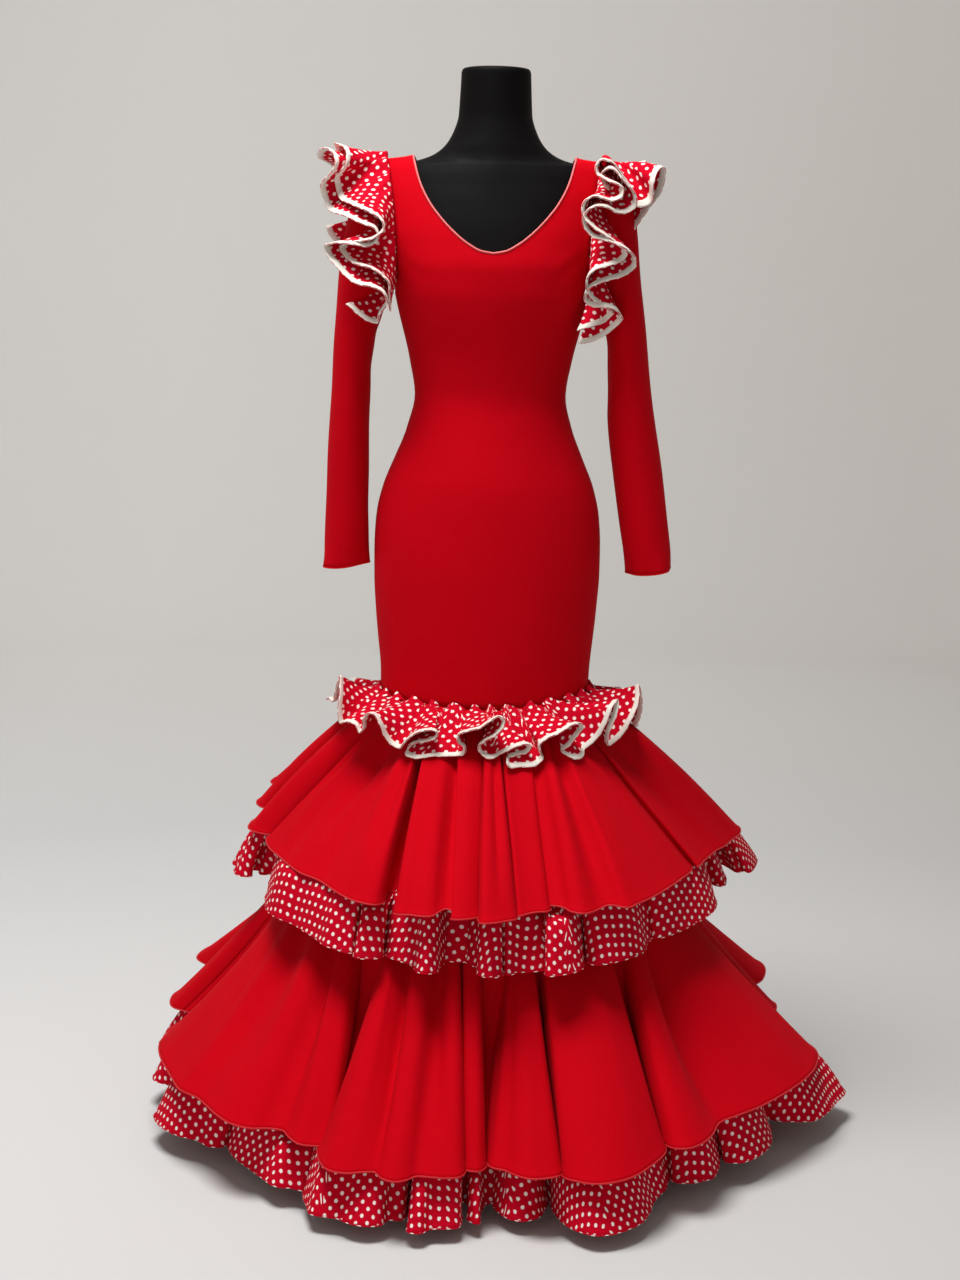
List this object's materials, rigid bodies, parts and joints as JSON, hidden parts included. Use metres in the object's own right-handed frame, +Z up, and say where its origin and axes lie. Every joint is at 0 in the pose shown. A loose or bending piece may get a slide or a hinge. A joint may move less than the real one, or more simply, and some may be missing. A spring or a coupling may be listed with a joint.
{
  "type": "flamenco dress on a limbless dress form",
  "caption": "Long-sleeved fitted flamenco dress with gathered flounces below the knee and dotted ruffles, worn by a limbless dress form on a pole and round base.",
  "frame": {"origin": "centre of the round base's underside, on the floor", "axes": "+Z up, the wearer's front faces -Y, +X is the wearer's left"},
  "size_m": [1.0642, 1.094, 1.5525],
  "materials": {
    "red_crepe": "smooth matt crepe",
    "dotted_cotton": "printed cotton, deep red with small off-white dots",
    "white_binding": "off-white bias binding",
    "neck_piping": "light red piping",
    "form_black": "smooth matt black",
    "stand_metal": "satin dark grey",
    "zip_enamel": "red enamel"
  },
  "bodies": {
    "dress_and_form": {"body_front": "red_crepe", "body_back_positive_x": "red_crepe", "body_back_negative_x": "red_crepe", "sleeve_positive_x": "red_crepe", "sleeve_negative_x": "red_crepe", "base_skirt_front": "red_crepe", "base_skirt_back": "red_crepe", "flounce_1_front": "red_crepe", "flounce_1_back": "red_crepe", "flounce_2_front": "red_crepe", "flounce_2_back": "red_crepe", "dotted_ruffle_1_front": "dotted_cotton", "dotted_ruffle_1_back": "dotted_cotton", "dotted_ruffle_2_front": "dotted_cotton", "dotted_ruffle_2_back": "dotted_cotton", "knee_ruffle_front": "dotted_cotton", "knee_ruffle_back": "dotted_cotton", "shoulder_ruffle_upper_positive_x": "dotted_cotton", "shoulder_ruffle_lower_positive_x": "dotted_cotton", "shoulder_ruffle_upper_negative_x": "dotted_cotton", "shoulder_ruffle_lower_negative_x": "dotted_cotton", "knee_ruffle_front_binding": "white_binding", "knee_ruffle_back_binding": "white_binding", "shoulder_ruffle_upper_positive_x_binding": "white_binding", "shoulder_ruffle_lower_positive_x_binding": "white_binding", "shoulder_ruffle_upper_negative_x_binding": "white_binding", "shoulder_ruffle_lower_negative_x_binding": "white_binding", "neckline_piping": "neck_piping", "form_torso": "form_black", "stand_base": "stand_metal", "stand_pole": "stand_metal", "zip_slider": "zip_enamel"},
    "pull_tab": {"zip_pull": "zip_enamel"}
  },
  "joints": [
    {"name": "zip_pull_hinge", "type": "hinge", "parent": "dress_and_form", "child": "pull_tab", "pos_m": [0, 0.10613, 1.36643], "axis": [1, 0, 0], "range_deg": [0, 150]}
  ]
}
